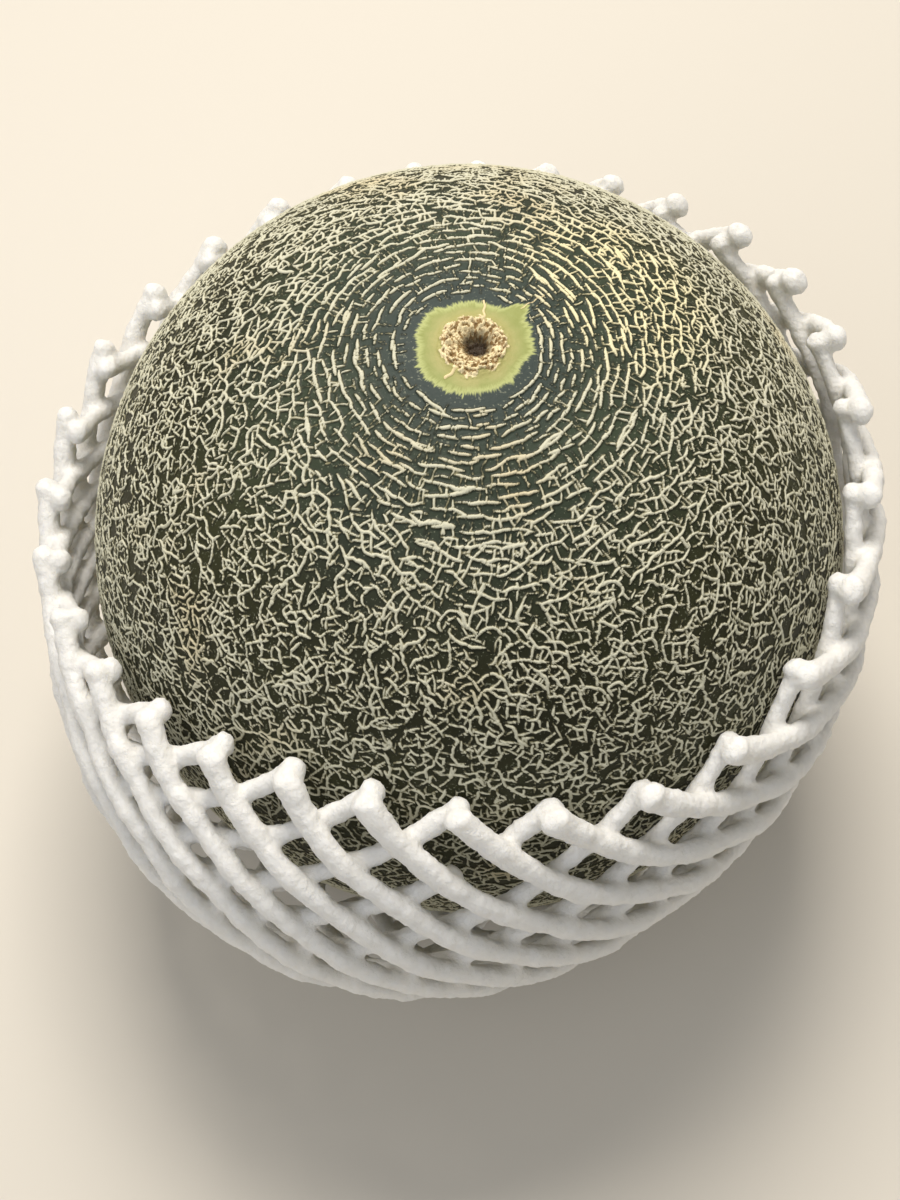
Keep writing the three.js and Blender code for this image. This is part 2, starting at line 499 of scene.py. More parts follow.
# %% Second cracks: bridges and spurs
# In the bare part round the stem nearly all of these are left out, and the rest are short.
BARE_LEFT_OUT = 0.97
BRANCH_LEAN, BRANCH_SPOT_MM = 0.35, 1.8
BRANCH_WANDER, BRANCH_CROWDING_MM = 0.16, 0.9
SHORTEST_BRANCH_MM, THINNEST_BRANCH_MM, BRANCH_WIDTH_SPREAD_MM = 0.7, 0.12, 0.03


def branch_cracks(count, mean_mm, half_width, room_mm):
    """Side cracks that leave an older one nearly square and run until they meet another."""
    global next_owner
    place = np.concatenate(cracks["place"])
    heading = np.concatenate(cracks["heading"])
    chosen = random.integers(0, len(place), count)
    starts, along = place[chosen], heading[chosen]
    parents = np.concatenate(cracks["owner"])[chosen]
    hand = random.choice([-1.0, 1.0], count)[:, None]
    side = np.cross(starts, along) * hand
    lean = random.normal(0, BRANCH_LEAN, (count, 1))
    way = unit(side * np.cos(lean) + along * np.sin(lean))
    bare = bareness(starts)
    keep = random.uniform(size=count) > BARE_LEFT_OUT * bare
    for share in (0.5, 0.75, 1.0):
        for sway in (-0.9, -0.45, 0.0, 0.45, 0.9):
            spot = unit(starts + unit(way + sway * along) * (room_mm * share * MM / MELON_R))
            keep &= occupied[cell_of(spot)] == 0
    keep &= from_stem_mm(starts) > SCAR_CLEAR_MM + 1
    starts, way, bare, parents = starts[keep], way[keep], bare[keep], parents[keep]
    first = first_in_each_spot(starts, BRANCH_SPOT_MM)
    starts, way, bare, parents = starts[first], way[first], bare[first], parents[first]
    owners = next_owner + np.arange(len(starts))
    next_owner += len(starts)
    lengths = SHORTEST_BRANCH_MM + random.exponential(mean_mm, len(starts)) * (1 - 0.6 * bare)
    widths = random.normal(half_width, BRANCH_WIDTH_SPREAD_MM, len(starts))
    widths = np.maximum(widths, THINNEST_BRANCH_MM) * (1 - 0.2 * bare)
    starts = unit(starts + way * step_angle)
    grow(starts, way, lengths, widths, owners, parents,
         BRANCH_WANDER, BRANCH_CROWDING_MM, fidelity=0.0)


for batch in range(6):
    branch_cracks(12000, mean_mm=1.8, half_width=0.22, room_mm=0.95)
for batch in range(2):
    branch_cracks(12000, mean_mm=0.5, half_width=0.19, room_mm=0.75)
for batch in range(2):
    start_first_cracks(30000, 0.8, ring_spacing_mm=0.45, mean_mm=0.6, half_width=0.12, across=True)
print(next_owner - 1, "cracks in all")

# %% Taper the loose ends
TAPER_STEPS = 5
crack_place = np.concatenate(cracks["place"])
crack_tip = np.concatenate(cracks["tip"])
crack_order = np.concatenate(cracks["order"])
crack_half = np.concatenate(cracks["half_width"])
length_of_tip = np.array(tip_length)[crack_tip]
joined = np.array(tip_joined)[crack_tip]
to_end = np.clip((length_of_tip - crack_order + 0.6) / TAPER_STEPS, 0.25, 1)
crack_half = crack_half * np.where(joined, 1.0, np.sqrt(to_end))
print(len(crack_place), "points,", f"{len(crack_place) * STEP_MM / 1000:.1f} m of cork")

# %% [markdown]
# ## The melon's skin as a mesh
# The netting stands up from the skin, so it could be a bump map on a plain ball. It would look
# flat from the side, so the relief is in the mesh here. A cube whose six faces are ruled into
# squares and blown up into a ball gives nearly even squares all over, with no pinched poles.
# The squares are drawn closer together over the upper half and round the stem, where the scar
# needs fine detail. Each corner then learns how far it lies inside or outside the nearest line
# of cork, and is lifted by that.

# %% Even squares on a ball
SQUARES = 380
# How much closer the squares are drawn, and how far over the ball that reaches, in radians.
STEM_DENSITY, STEM_REACH = 0.4, 0.42
TOP_DENSITY, TOP_REACH = 0.25, 1.6


def every_pair(values):
    """Two flat rows that hold every pair of these values."""
    first, second = np.meshgrid(values, values, indexing="ij")
    return first.ravel(), second.ravel()


def ball_grid(squares):
    """Corners and squares of a blown-up cube."""
    across, along = every_pair(np.linspace(-1, 1, squares + 1))
    corners, faces = [], []
    column, row = every_pair(np.arange(squares))
    first = column * (squares + 1) + row
    for face in range(6):
        base = len(corners) * (squares + 1) ** 2
        corners.append(cube_direction(np.full(len(across), face), across, along))
        square = np.stack([first, first + squares + 1, first + squares + 2, first + 1], 1) + base
        faces.append(square if face % 2 == 0 else square[:, ::-1])
    corners, faces = np.concatenate(corners), np.concatenate(faces)
    # Neighbouring faces have the corners on their edges in common.
    rounded = np.round(corners, 6)
    _, keep, where = np.unique(rounded, axis=0, return_index=True, return_inverse=True)
    return corners[keep], where.ravel()[faces]


ball, squares = ball_grid(SQUARES)
polar = np.arccos(np.clip(ball[:, 2], -1, 1))
by_stem = STEM_DENSITY * np.exp(-((polar / STEM_REACH) ** 2))
closer = by_stem + TOP_DENSITY * np.exp(-((polar / TOP_REACH) ** 2))
drawn_in = polar * (1 - closer)
flat = unit(ball * [1, 1, 0])
ball = np.sin(drawn_in)[:, None] * flat + np.cos(drawn_in)[:, None] * [0, 0, 1]
print(len(ball), "corners,", len(squares), "squares")

# %% How far each corner is from the cork
tree_of_cork = KDTree(len(crack_place))
for number, spot in enumerate(crack_place * MELON_R / MM):
    tree_of_cork.insert(spot, number)
tree_of_cork.balance()
nearest = np.empty(len(ball), int)
distance_mm = np.empty(len(ball))
for number, spot in enumerate(ball * MELON_R / MM):
    _, nearest[number], distance_mm[number] = tree_of_cork.find(spot)
inside_cork = crack_half[nearest] - distance_mm
print(f"{100 * (inside_cork > 0).mean():.0f} % of the corners lie on cork")

# %% [markdown]
# ## The stem scar
# Where the stem was cut there is a torn tan ring round a dark hollow, on a lime patch of young
# skin that the cork never reached. Painting it on an image would fix its sharpness once and for
# all, so its outlines are formulas instead: each corner of the mesh carries how far it lies
# inside the patch, the ring and the hollow, and both the relief and the colours read that.

# %% The scar's outlines
# All of this is in millimetres over the skin, from the pole: the scar's middle is a little off.
SCAR_CENTRE = (0.5, 0.8)
NEAR_SCAR_MM = 15
PATCH_RADIUS_MM = 8.5
RING_RADIUS_MM = 5.6
HOLLOW_CENTRE, HOLLOW_RADIUS_MM = (0.6, 0.4), 3.3
# The patch frays into short hairs: how fine they are, and how long.
FRINGE, FRINGE_MM = 17.0, 1.1
# How much the ring's outline strays, and how much the fibres move the ring's and hollow's edges.
RING_STRAY_MM, FIBRE_EDGE_MM = 0.9, 0.5
stem_side = np.arctan2(ball[:, 1], ball[:, 0])
outward = np.stack([np.cos(stem_side), np.sin(stem_side)], 1)
flat_place = from_stem_mm(ball)[:, None] * outward - SCAR_CENTRE
azimuth = np.arctan2(flat_place[:, 1], flat_place[:, 0])
from_axis = np.hypot(flat_place[:, 0], flat_place[:, 1])


def corner_bump(angle, centre_degrees, width_degrees):
    """A rounded bump of height 1 centred on one side of the scar."""
    gap = (angle - math.radians(centre_degrees) + math.pi) % (2 * math.pi) - math.pi
    return np.exp(-((gap / math.radians(width_degrees)) ** 2))


# The lime patch is a rough many-sided shape, drawn out into points to the right. Each corner
# has a height in millimetres, the azimuth it points to, and how many degrees wide it is.
PATCH_CORNERS = (
    (3.6, 43, 9), (1.5, 21, 14), (1.4, -4, 12), (1.3, 139, 13), (1.1, 164, 13),
    (0.8, 192, 14), (1.1, 215, 16), (0.8, 240, 20), (0.4, 275, 25), (0.3, 308, 20),
)
patch_radius = np.full(len(ball), PATCH_RADIUS_MM)
for corner_height, corner_azimuth, corner_width in PATCH_CORNERS:
    patch_radius += corner_height * corner_bump(azimuth, corner_azimuth, corner_width)
near_scar = from_axis < NEAR_SCAR_MM


def round_noise(count, along):
    """Noise near the scar that changes this fast round the stem, and this fast outward."""
    values = np.zeros(len(ball))
    for number in np.flatnonzero(near_scar):
        turn, out = azimuth[number], along * from_axis[number]
        place = Vector((count * math.cos(turn), count * math.sin(turn), out))
        values[number] = noise.fractal(place, 0.7, 2.0, 3)
    return values


fringe = round_noise(FRINGE, 0.25)
fibre = round_noise(6.5, 2.2)
patch_radius += FRINGE_MM * np.abs(fringe)
inside_patch = patch_radius - from_axis
ring_stray = RING_STRAY_MM * round_noise(2.2, 0.0)
inside_ring = RING_RADIUS_MM + ring_stray + FIBRE_EDGE_MM * fibre - from_axis
from_hollow = np.hypot(flat_place[:, 0] - HOLLOW_CENTRE[0], flat_place[:, 1] - HOLLOW_CENTRE[1])
inside_hollow = HOLLOW_RADIUS_MM + FIBRE_EDGE_MM * fibre - from_hollow
# No cork grows on the patch or right beside it.
CORK_KEEPS_OFF_MM = 0.6
inside_cork = np.where(inside_patch > -CORK_KEEPS_OFF_MM, -1.0, inside_cork)
print(f"{(inside_patch > 0).sum()} corners lie on the lime patch, {(inside_ring > 0).sum()} on the ring")

# %% Dry cracks by the scar
CRACK_WOBBLE_MM = 0.12


def crack_line(start, end, half_width):
    """How far each corner lies inside a short crack between two places by the scar, in mm."""
    start, end = np.array(start), np.array(end)
    along = (end - start) / np.linalg.norm(end - start)
    out = (flat_place - start) @ along
    aside = (flat_place - start) @ [-along[1], along[0]] + CRACK_WOBBLE_MM * np.sin(3 * out)
    past_end = np.maximum(np.maximum(-out, out - np.linalg.norm(end - start)), 0)
    return half_width - np.hypot(aside, past_end)


# Two run from the torn ring over the lime patch, and a hair crack runs on from its longest point.
SCAR_CRACKS = (
    ((1.8, 5.2), (1.9, 8.9), 0.2),
    ((-2.6, -4.4), (-4.6, -6.3), 0.28),
    ((8.0, 7.6), (12.2, 10.9), 0.1),
)
scar_crack = np.max([crack_line(*crack) for crack in SCAR_CRACKS], axis=0)
print(f"{(scar_crack > 0).sum()} corners lie in the scar's cracks")

# %% Lift the relief
# Heights in millimetres. The skin between the cork lies a little below the round it came from,
# and the whole fruit is out of true by a slow wave.
CORK_RISE, BELOW_SKIN, OUT_OF_TRUE = 0.42, 0.18, 0.35
CORK_FOOT_MM, CORK_CREST_MM = -0.16, 0.30
SCAR_DIP, SCAR_DIP_REACH_MM = 0.5, 15
RING_RISE, RING_MIDDLE_MM, RING_SPREAD_MM = 0.7, 4.6, 1.2
HOLLOW_DEPTH, HOLLOW_SLOPE_MM = 2.3, 2.4
TORN, FIBRE_RISE, SCAR_CRACK_RISE = 0.42, 0.25, 0.22


def soft_step(value, low, high):
    """0 below low, 1 above high, with a smooth rise between."""
    share = np.clip((value - low) / (high - low), 0, 1)
    return share * share * (3 - 2 * share)


cork_lift = CORK_RISE * soft_step(inside_cork, CORK_FOOT_MM, CORK_CREST_MM)
slow_shape = OUT_OF_TRUE * smooth_noise(ball, 1.3)
scar_dip = -SCAR_DIP * np.exp(-((from_axis / SCAR_DIP_REACH_MM) ** 2))
ring_round = np.exp(-(((from_axis - RING_MIDDLE_MM) / RING_SPREAD_MM) ** 2))
ring_lift = RING_RISE * ring_round * (1 + 0.5 * fibre)
hollow_dip = -HOLLOW_DEPTH * soft_step(inside_hollow, 0, HOLLOW_SLOPE_MM)
torn = np.zeros(len(ball))
torn[near_scar] = [noise.fractal(Vector(spot * 70), 0.6, 2.1, 4) for spot in ball[near_scar]]
scar_rough = (TORN * torn + FIBRE_RISE * fibre) * soft_step(inside_ring, -0.5, 0.7)
crack_lift = SCAR_CRACK_RISE * soft_step(scar_crack, -0.1, 0.2)
height_mm = cork_lift - BELOW_SKIN + slow_shape
height_mm = height_mm + scar_dip + ring_lift + hollow_dip + scar_rough + crack_lift
points = ball * (MELON_R + height_mm[:, None] * MM) + CENTRE
points[:, 2] = np.maximum(points[:, 2], 0)

melon_mesh = bpy.data.meshes.new("melon_fruit")
melon_mesh.from_pydata(points.tolist(), [], squares.tolist())
melon_mesh.shade_smooth()
for name, values in (("cork_mm", inside_cork), ("patch_mm", inside_patch),
                     ("ring_mm", inside_ring), ("hollow_mm", inside_hollow),
                     ("stem_mm", from_axis), ("fibre", fibre), ("scar_crack_mm", scar_crack)):
    layer = melon_mesh.attributes.new(name, "FLOAT", "POINT")
    layer.data.foreach_set("value", values.astype(np.float32))
melon = bpy.data.objects.new("melon_fruit", melon_mesh)
bpy.context.scene.collection.objects.link(melon)
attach(melon, "root")
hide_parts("melon")
print("melon mesh", len(points), "corners")

# %% [markdown]
# ## The melon's finish
# Three things show: the living skin, dark slate green with a thin wax bloom; the cork, dry and
# cream coloured, with no shine; and the scar, a lime patch of young skin round a torn tan ring.
# They could be three materials on three sets of faces, but then every border would show the
# mesh's squares. In one material they are told apart by the distance that each corner carries,
# which stays crisp however close we look.

# %% Rind: what the mesh carries
material, tree, output = new_material("netted_rind")
place = add_node(tree, "TexCoord").outputs["Object"]
cork_mm, patch_mm, ring_mm = (attribute(tree, name) for name in ("cork_mm", "patch_mm", "ring_mm"))
hollow_mm, stem_mm = attribute(tree, "hollow_mm"), attribute(tree, "stem_mm")
print("rind material begun")

# %% Rind: the living skin
# Dark green skin, bluer and waxier by the stem, and olive lower down, where it is also painted darker as
# painted shade of the lower side. Pale flecks show where a crack is about to open, and the skin is painted
# darkest along the cork, a painted shade beside each raised line that sets the netting off.
OLIVE_AND_SHADE_FROM_MM, OLIVE_AND_SHADE_AT_MM = 22.0, 60.0
BLUE_TO_MM, BLUE_GONE_MM = 10.0, 24.0
skin_patches = blend_ramp(tree, speckle(tree, place, 22.0, 3.0), 0.35, 0.65)
# Partly painted shade: the lower skin is olive, and it is also painted darker, as the shade on the lower side
# where less light falls.
olive_shaded_lower_skin = mix_colours(tree, skin_patches, "#23230c", "#32331a")
upper_skin = mix_colours(tree, skin_patches, "#303a2e", "#3c4634")
olive_and_shade_share = blend_ramp(tree, stem_mm, OLIVE_AND_SHADE_FROM_MM, OLIVE_AND_SHADE_AT_MM)
skin = mix_colours(tree, olive_and_shade_share, upper_skin, olive_shaded_lower_skin)
blue_skin = mix_colours(tree, blend_ramp(tree, stem_mm, BLUE_TO_MM, BLUE_GONE_MM), "#2c3935", skin)
flecks = blend_ramp(tree, speckle(tree, place, 1900.0, 1.0), 0.62, 0.72)
skin_flecked = mix_colours(tree, calculate(tree, "MULTIPLY", flecks, 0.4), blue_skin, "#9fa28a")
# Painted shade: the skin beside each line of cork is painted near-black, standing in for the shade of the
# raised ridge.
shade_beside_cork = calculate(tree, "MULTIPLY", blend_ramp(tree, cork_mm, -0.45, -0.12), 0.5)
skin_shaded_beside_cork = mix_colours(tree, shade_beside_cork, skin_flecked, "#1a1b10")
print("skin: green and blue, flecked")

# %% Rind: the cork
# Dry cork, grey cream with a warm stain here and there, and each ridge's foot painted brown as painted shade,
# so that the lines look raised. Near the top on the right the cork turns a warmer, paler cream.
# A warmer, paler cream patch on the cork near the top on the right: its middle, and the distances where it
# begins and where it is full.
PALE_PATCH_PLACE = (0.026, 0.016, 0.137)
PALE_PATCH_EDGE, PALE_PATCH_CORE = 26 * MM, 10 * MM
ragged = calculate(tree, "MULTIPLY_ADD", speckle(tree, place, 1400.0), 0.3, -0.15)
cork_share = blend_ramp(tree, calculate(tree, "ADD", cork_mm, ragged), -0.10, 0.06)
cork_tone = mix_colours(tree, speckle(tree, place, 260.0, 3.0), "#c3c1a9", "#dfddc7")
pale_patch_distance = add_node(tree, "VectorMath", {"operation": "DISTANCE"}, _0=place)
pale_patch_distance.inputs[1].default_value = PALE_PATCH_PLACE
pale_patch_share = blend_ramp(tree, pale_patch_distance.outputs["Value"], PALE_PATCH_EDGE, PALE_PATCH_CORE)
pale_patched_cork = mix_colours(tree, calculate(tree, "MULTIPLY", pale_patch_share, 0.7), cork_tone, "#f6ebba")
stained = blend_ramp(tree, speckle(tree, place, 35.0, 2.0), 0.56, 0.76)
cork_dirt = mix_colours(tree, calculate(tree, "MULTIPLY", stained, 0.5), pale_patched_cork, "#d9c08c")
# Painted shade: the edge of each cork line is painted brown, standing in for the shade at the foot of the
# raised ridge.
cork_with_painted_shade_foot = mix_colours(tree, blend_ramp(tree, cork_mm, -0.04, 0.09), "#8b8564", cork_dirt)
rind_colour = mix_colours(tree, cork_share, skin_shaded_beside_cork, cork_with_painted_shade_foot)
print("cork: cream with a brown foot")

# %% Rind: the scar
# Young lime skin, palest at its frayed edge and tanned by the ring; the ring's torn fibres, pale
# on their crests and brown between; and the hollow, which goes dark by degrees.
lime = mix_colours(tree, speckle(tree, place, 420.0, 3.0), "#858c43", "#a0a665")
lime_by_ring = mix_colours(tree, blend_ramp(tree, ring_mm, -3.2, -0.2), lime, "#aba66a")
lime_edge = mix_colours(tree, blend_ramp(tree, patch_mm, 0.2, 1.5), "#b2b876", lime_by_ring)
with_patch = mix_colours(tree, blend_ramp(tree, patch_mm, -0.35, 0.45), rind_colour, lime_edge)
crack_share = blend_ramp(tree, attribute(tree, "scar_crack_mm"), -0.06, 0.08)
with_cracks = mix_colours(tree, crack_share, with_patch, "#e6d3a4")
fibre_crest = blend_ramp(tree, attribute(tree, "fibre"), -0.35, 0.3)
fibre_tone = mix_colours(tree, fibre_crest, "#8f7348", "#f2e2b6")
ring_specks = blend_ramp(tree, speckle(tree, place, 900.0, 4.0, 0.7), 0.56, 0.74)
ring_tone = mix_colours(tree, ring_specks, fibre_tone, "#684c2e")
with_ring = mix_colours(tree, blend_ramp(tree, ring_mm, -0.15, 0.15), with_cracks, ring_tone)
feather = calculate(tree, "MULTIPLY_ADD", speckle(tree, place, 900.0, 3.0), 1.6, -0.8)
hollow_share = blend_ramp(tree, calculate(tree, "ADD", hollow_mm, feather), 0.1, 2.0)
scar_colour = mix_colours(tree, hollow_share, with_ring, "#3a2e21")
print("scar: lime, tan and dark brown")

# %% Rind: shine and fine bump
# Waxed skin has a soft shine that the dry cork lacks. The bump is only what is finer than the
# mesh: the cork's crumbly grain, and a crisper shoulder to each line.
SKIN_ROUGHNESS, CORK_ADDS = 0.54, 0.28
roughness = calculate(tree, "MULTIPLY_ADD", cork_share, CORK_ADDS, SKIN_ROUGHNESS)
shoulder = blend_ramp(tree, cork_mm, -0.15, 0.2)
bump_height = calculate(tree, "MULTIPLY_ADD", speckle(tree, place, 1500.0, 3.0), 0.35, shoulder)
bump = add_node(tree, "Bump", Strength=0.6, Distance=0.22 * MM, Height=bump_height)
rind = add_node(tree, "BsdfPrincipled", Base_Color=scar_colour, Roughness=roughness, Normal=bump.outputs[0])
rind.inputs["IOR"].default_value = 1.45
rind.inputs["Specular IOR Level"].default_value = 0.3
tree.links.new(rind.outputs[0], output.inputs[0])
melon.data.materials.append(material)
print(len(tree.nodes), "nodes in the rind")

# %% [markdown]
# ## The foam net
# The net is extruded polyethylene foam: a ring die turns one way and an inner die the other,
# so two sets of soft round strands come out crossing and weld where they touch. Joining sixty
# tubes by cutting them into each other is slow and leaves sharp seams. Here each strand is
# swept as a tube along its line on the melon, and a voxel remesh melts all the tubes into one
# skin, as the hot foam does. A little smoothing then rounds the welds.

# %% Where the net lies
STRAND_PAIRS = 30
CROSSING_ROWS = 16
NET_GAP_MM = 0.3
NET_THICKNESS_MM = 6.0
FIRST_STRAND = 348.3
# Each of these pairs is a size and the azimuth, in degrees, where it is greatest: how far the
# strands are spread, how the rim rises and falls in degrees of latitude, how far the rim flares
# out, how far the slack hangs away from the melon, and how close the upper rows are bunched.
SPREAD_ONE_SIDE, SPREAD_TWO_SIDES = (9.2, 309.5), (3.3, 333)
RIM_LATITUDE = 14.9
RIM_WAVES = ((11.9, 296), (2.6, 229.5), (2.4, 6))
RIM_FLARE_MM = (3.4, 111.5)
SLACK_MM, SLACK_NARROWNESS = (11.5, 246), 5.5
BUNCHING, BUNCHING_NARROWNESS = (0.18, 215), 3
radius_mm = MELON_R / MM
centre_mm = CENTRE_Z / MM
# The net's lower end is where its outer face comes down to the table.
lowest_latitude = math.asin(-centre_mm / (radius_mm + NET_GAP_MM + NET_THICKNESS_MM))


def swing(azimuth, degrees, times=1):
    """A wave that goes this many times round the melon, highest at this azimuth."""
    return np.cos(times * (azimuth - math.radians(degrees)))


def strand_azimuth(strand):
    """Azimuth in radians of a strand number. Strands are spread wider on some sides."""
    even = math.radians(FIRST_STRAND) + 2 * math.pi * strand / STRAND_PAIRS
    one_side = SPREAD_ONE_SIDE[0] * np.sin(even - math.radians(SPREAD_ONE_SIDE[1]))
    two_sides = SPREAD_TWO_SIDES[0] * np.sin(2 * (even - math.radians(SPREAD_TWO_SIDES[1])))
    return even + np.radians(one_side + two_sides)


def net_point(strand, fall, depth_mm):
    """A place in the net: fall runs from the rim, 0, to the lower end, 1; depth is outward."""
    azimuth = strand_azimuth(strand)
    waves = sum(size * swing(azimuth, peak, times) for times, (size, peak) in enumerate(RIM_WAVES, 1))
    rim = np.radians(RIM_LATITUDE + waves)
    bunched = BUNCHING[0] * ((1 + swing(azimuth, BUNCHING[1])) / 2) ** BUNCHING_NARROWNESS
    way_down = fall - bunched * np.sin(math.pi * np.clip(fall, 0, 1)) ** 2
    latitude = rim + (lowest_latitude - rim) * way_down
    side = ((1 + swing(azimuth, SLACK_MM[1])) / 2) ** SLACK_NARROWNESS
    hang = SLACK_MM[0] * side * np.sin(math.pi * np.clip(fall, 0, 1))
    flare = RIM_FLARE_MM[0] * (1 + swing(azimuth, RIM_FLARE_MM[1])) * (1 - fall) ** 2
    middle = radius_mm + NET_GAP_MM + NET_THICKNESS_MM / 2 + hang + flare
    level, up = np.cos(latitude), np.sin(latitude)
    outward = np.stack([level * np.cos(azimuth), level * np.sin(azimuth), up], -1)
    point = outward * middle[:, None]
    point[:, 2] = np.maximum(point[:, 2] + centre_mm, NET_THICKNESS_MM / 2)
    return point + outward * np.broadcast_to(depth_mm, azimuth.shape)[:, None]


print(f"the net runs from latitude {RIM_LATITUDE} to {math.degrees(lowest_latitude):.1f} degrees")

# %% Sweep a strand
# The outer set of strands is thicker than the inner set: half the width and half the depth.
OUTER_HALVES_MM = (2.3, 1.9)
INNER_HALVES_MM = (1.8, 1.6)
LAYER_OFFSET_MM = 1.4
RING_SIDES = 12
STRAND_POINTS = 170


def tube(centres, swell, half_width, half_depth):
    """Points and faces of a closed oval tube along these centres, swollen by this much at each."""
    along = unit(np.gradient(centres, axis=0))
    outward = unit(centres - [0, 0, centre_mm])
    side = unit(np.cross(along, outward))
    outward = np.cross(side, along)
    turns = np.linspace(0, 2 * math.pi, RING_SIDES, endpoint=False)
    ring = half_width * np.cos(turns)[None, :, None] * side[:, None]
    ring = ring + half_depth * np.sin(turns)[None, :, None] * outward[:, None]
    rings = (centres[:, None] + swell[:, None, None] * ring).reshape(-1, 3)
    points = np.concatenate([rings, centres[:1], centres[-1:]])
    low = (np.arange(len(centres) - 1)[:, None] * RING_SIDES + np.arange(RING_SIDES)).ravel()
    after = np.where(low % RING_SIDES == RING_SIDES - 1, low + 1 - RING_SIDES, low + 1)
    faces = np.stack([low, after, after + RING_SIDES, low + RING_SIDES], 1).tolist()
    first, last = len(rings), len(rings) + 1
    for here in range(RING_SIDES):
        there = (here + 1) % RING_SIDES
        end = len(rings) - RING_SIDES
        faces.append((first, there, here))
        faces.append((last, end + here, end + there))
    return points, faces


print("a strand is", STRAND_POINTS, "rings of", RING_SIDES, "corners")

# %% Lay the strands and cut them at the rim
# The knife goes through the net close to a row of crossings. In front it leaves the two ends
# stuck together as one blunt tip; at the back it leaves them as a short fork.
BROKEN_STRAND, BROKEN_ROWS = 25, (1.35, 1.85)
LOWER_END = 0.985
# How far the ends stand apart past the last crossing, least in front and most at the back.
FORK_LEAST, FORK_MORE, FORK_AZIMUTH = 0.3, 0.6, 125
# How far past that crossing the knife cuts, in rows, and how unsteady it is.
CUT_LEAST, CUT_MORE, CUT_UNSTEADY = 0.26, 0.2, (-0.06, 0.1)
# A strand wanders sideways, as a share of the way to the next strand, and in and out in
# millimetres, and it has long and short lumps. Each is a size and how fast it changes.
WANDER, LAYER_WANDER_MM = (0.022, 26), (0.25, 40)
LONG_LUMPS, SHORT_LUMPS = (0.05, 75), (0.04, 190)
# It thickens towards a cut end, most just behind the cut, and the end itself is rounded off.
END_SWELL, END_REACH_MM = 0.1, 14
KNOB_SWELL, KNOB_MM = 0.16, 1.5
BLUNT_MM, ROUNDED_MM = 0.12, 1.3
net_points, net_faces = [], []
strand_random = np.random.default_rng(11)


def lay_strand(number, direction, first_fall, last_fall):
    """Adds one strand, from one place down the net to another, to the net's tubes."""
    azimuth = float(strand_azimuth(np.array([number]))[0])
    fork = FORK_LEAST + FORK_MORE * (0.5 + 0.5 * math.cos(azimuth - math.radians(FORK_AZIMUTH)))
    fall = np.linspace(first_fall, last_fall, STRAND_POINTS)
    strand = number + direction * CROSSING_ROWS / 2 * (np.maximum(fall, 0) + fork * np.minimum(fall, 0))
    shift, lump_one, lump_two, layer_shift = strand_random.uniform(0, 2 * math.pi, 4)
    strand = strand + WANDER[0] * np.sin(fall * WANDER[1] + shift)
    in_and_out = LAYER_WANDER_MM[0] * np.sin(fall * LAYER_WANDER_MM[1] + layer_shift)
    depth = direction * LAYER_OFFSET_MM + in_and_out
    centres = net_point(strand, fall, depth)
    long_lumps = LONG_LUMPS[0] * np.sin(fall * LONG_LUMPS[1] + lump_one)
    swell = 1 + long_lumps + SHORT_LUMPS[0] * np.sin(fall * SHORT_LUMPS[1] + lump_two)
    to_ends = [np.linalg.norm(centres - end, axis=1) for end in (centres[0], centres[-1])]
    end_mm = np.minimum(*to_ends)
    swell = swell * (1 + END_SWELL * np.exp(-((end_mm / END_REACH_MM) ** 2)))
    swell = swell * (1 + KNOB_SWELL * np.exp(-((end_mm - KNOB_MM) ** 2)))
    swell = swell * np.sqrt(np.clip((end_mm + BLUNT_MM) / ROUNDED_MM, 0, 1))
    halves = OUTER_HALVES_MM if direction == 1 else INNER_HALVES_MM
    points_of_tube, faces_of_tube = tube(centres, swell, *halves)
    base = sum(len(part) for part in net_points)
    net_points.append(points_of_tube * MM)
    net_faces.extend([tuple(base + corner for corner in face) for face in faces_of_tube])


for direction in (1, -1):
    for number in range(STRAND_PAIRS):
        back = 0.5 + 0.5 * math.sin(float(strand_azimuth(np.array([number]))[0]))
        past_crossing = CUT_LEAST + CUT_MORE * back + strand_random.uniform(*CUT_UNSTEADY)
        first = -past_crossing / CROSSING_ROWS
        if direction == -1 and number == BROKEN_STRAND:
            break_above, break_below = (row / CROSSING_ROWS for row in BROKEN_ROWS)
            lay_strand(number, direction, first, break_above)
            first = break_below
        lay_strand(number, direction, first, LOWER_END)
tubes_mesh = bpy.data.meshes.new("strand_tubes")
tubes_mesh.from_pydata(np.concatenate(net_points).tolist(), [], net_faces)
tubes = bpy.data.objects.new("strand_tubes", tubes_mesh)
bpy.context.scene.collection.objects.link(tubes)
print(2 * STRAND_PAIRS, "strands,", len(tubes_mesh.vertices), "corners before welding")

# %% Weld the strands
VOXEL = 0.6 * MM
SMOOTHINGS = 5
# The foam's own unevenness: the size of its lumps and pimples and how far they rise.
UNEVENNESS_MM = (("foam_lumps", 3.2, 0.55), ("foam_pimples", 0.9, 0.4))
weld = tubes.modifiers.new("weld", "REMESH")
weld.mode = "VOXEL"
weld.voxel_size = VOXEL
weld.use_smooth_shade = True
soften = tubes.modifiers.new("soften", "SMOOTH")
soften.factor = 0.5
soften.iterations = SMOOTHINGS
for name, size_mm, strength_mm in UNEVENNESS_MM:
    lumps = bpy.data.textures.new(name, "CLOUDS")
    lumps.noise_scale = size_mm * MM
    lumps.noise_depth = 1
    swell = tubes.modifiers.new(name, "DISPLACE")
    swell.texture = lumps
    swell.texture_coords = "LOCAL"
    swell.strength = strength_mm * MM
    swell.mid_level = 0.45
evaluated = tubes.evaluated_get(bpy.context.evaluated_depsgraph_get())
net_mesh = bpy.data.meshes.new_from_object(evaluated)
net_mesh.name = "foam_net_strands"
bpy.data.objects.remove(tubes)
print("welded into", len(net_mesh.vertices), "corners")

# %% Press the foam on the melon and the table
# Soft foam gives way where it is pressed. Here it gives way to the highest cork below the rim
# and to the table, so that no strand cuts into either.
CLEAR = 0.05 * MM
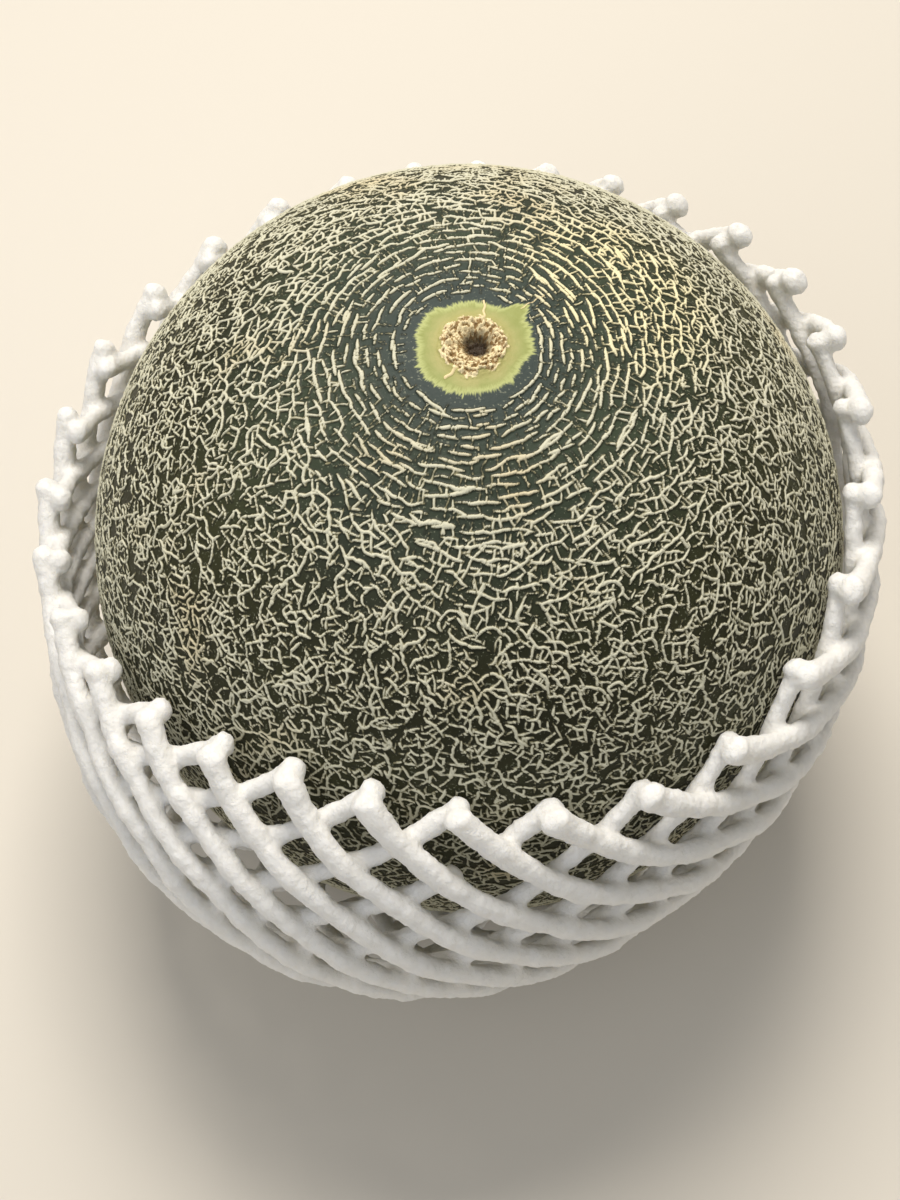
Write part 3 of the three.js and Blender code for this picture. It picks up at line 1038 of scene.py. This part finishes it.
# All of the net lies lower than this on the melon, as a height on a ball of radius 1.
ABOVE_THE_NET = 0.6
below_rim = ball[:, 2] < ABOVE_THE_NET
cork_reach = np.linalg.norm(points - CENTRE, axis=1)[below_rim].max()
pressed_r = cork_reach + CLEAR
spots = np.empty(len(net_mesh.vertices) * 3)
net_mesh.vertices.foreach_get("co", spots)
spots = spots.reshape(-1, 3)
from_centre = spots - CENTRE
length = np.linalg.norm(from_centre, axis=1)
from_centre *= np.where(length < pressed_r, pressed_r / length, 1.0)[:, None]
spots = from_centre + CENTRE
spots[:, 2] = np.maximum(spots[:, 2], CLEAR)
net_mesh.vertices.foreach_set("co", spots.ravel())
net_mesh.shade_smooth()
foam_net = bpy.data.objects.new("foam_net_strands", net_mesh)
bpy.context.scene.collection.objects.link(foam_net)
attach(foam_net, "root")
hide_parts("foam_net")
print(f"foam net kept {1000 * (pressed_r - MELON_R):.2f} mm off the melon's even round")

# %% [markdown]
# ## The foam's finish
# Closed-cell foam is white all through and lets light in a little way, which softens the shadow
# between strands. A plain white paint would look like plaster, so light is let under the skin.
# The cells and the stretch wrinkles are too fine for the mesh, and they are a bump.

# %% Foam material
# Polyethylene foam: the glow from within is what tells it from plastic, and its cells and
# wrinkles break up the dull shine.
material, tree, output = new_material("polyethylene_foam")
place = add_node(tree, "TexCoord").outputs["Object"]
cells = add_node(tree, "TexVoronoi", Vector=place, Scale=1100.0).outputs[0]
lump = speckle(tree, place, 380.0, 4.0, 0.6)
height = calculate(tree, "MULTIPLY_ADD", cells, 0.35, lump)
wrinkle = blend_ramp(tree, speckle(tree, place, 750.0, 5.0, 0.65), 0.42, 0.58)
bump_height = calculate(tree, "MULTIPLY_ADD", wrinkle, 0.5, height)
bump = add_node(tree, "Bump", Strength=0.6, Distance=0.4 * MM, Height=bump_height)
tone = mix_colours(tree, lump, "#e9e8e4", "#f6f5f2")
foam = add_node(tree, "BsdfPrincipled", Base_Color=tone, Normal=bump.outputs[0])
foam.inputs["Roughness"].default_value = 0.55
foam.inputs["IOR"].default_value = 1.5
foam.inputs["Subsurface Weight"].default_value = 0.6
foam.inputs["Subsurface Radius"].default_value = (1.0, 0.95, 0.85)
foam.inputs["Subsurface Scale"].default_value = 3 * MM
tree.links.new(foam.outputs[0], output.inputs[0])
foam_net.data.materials.append(material)
print(len(tree.nodes), "nodes in the foam")
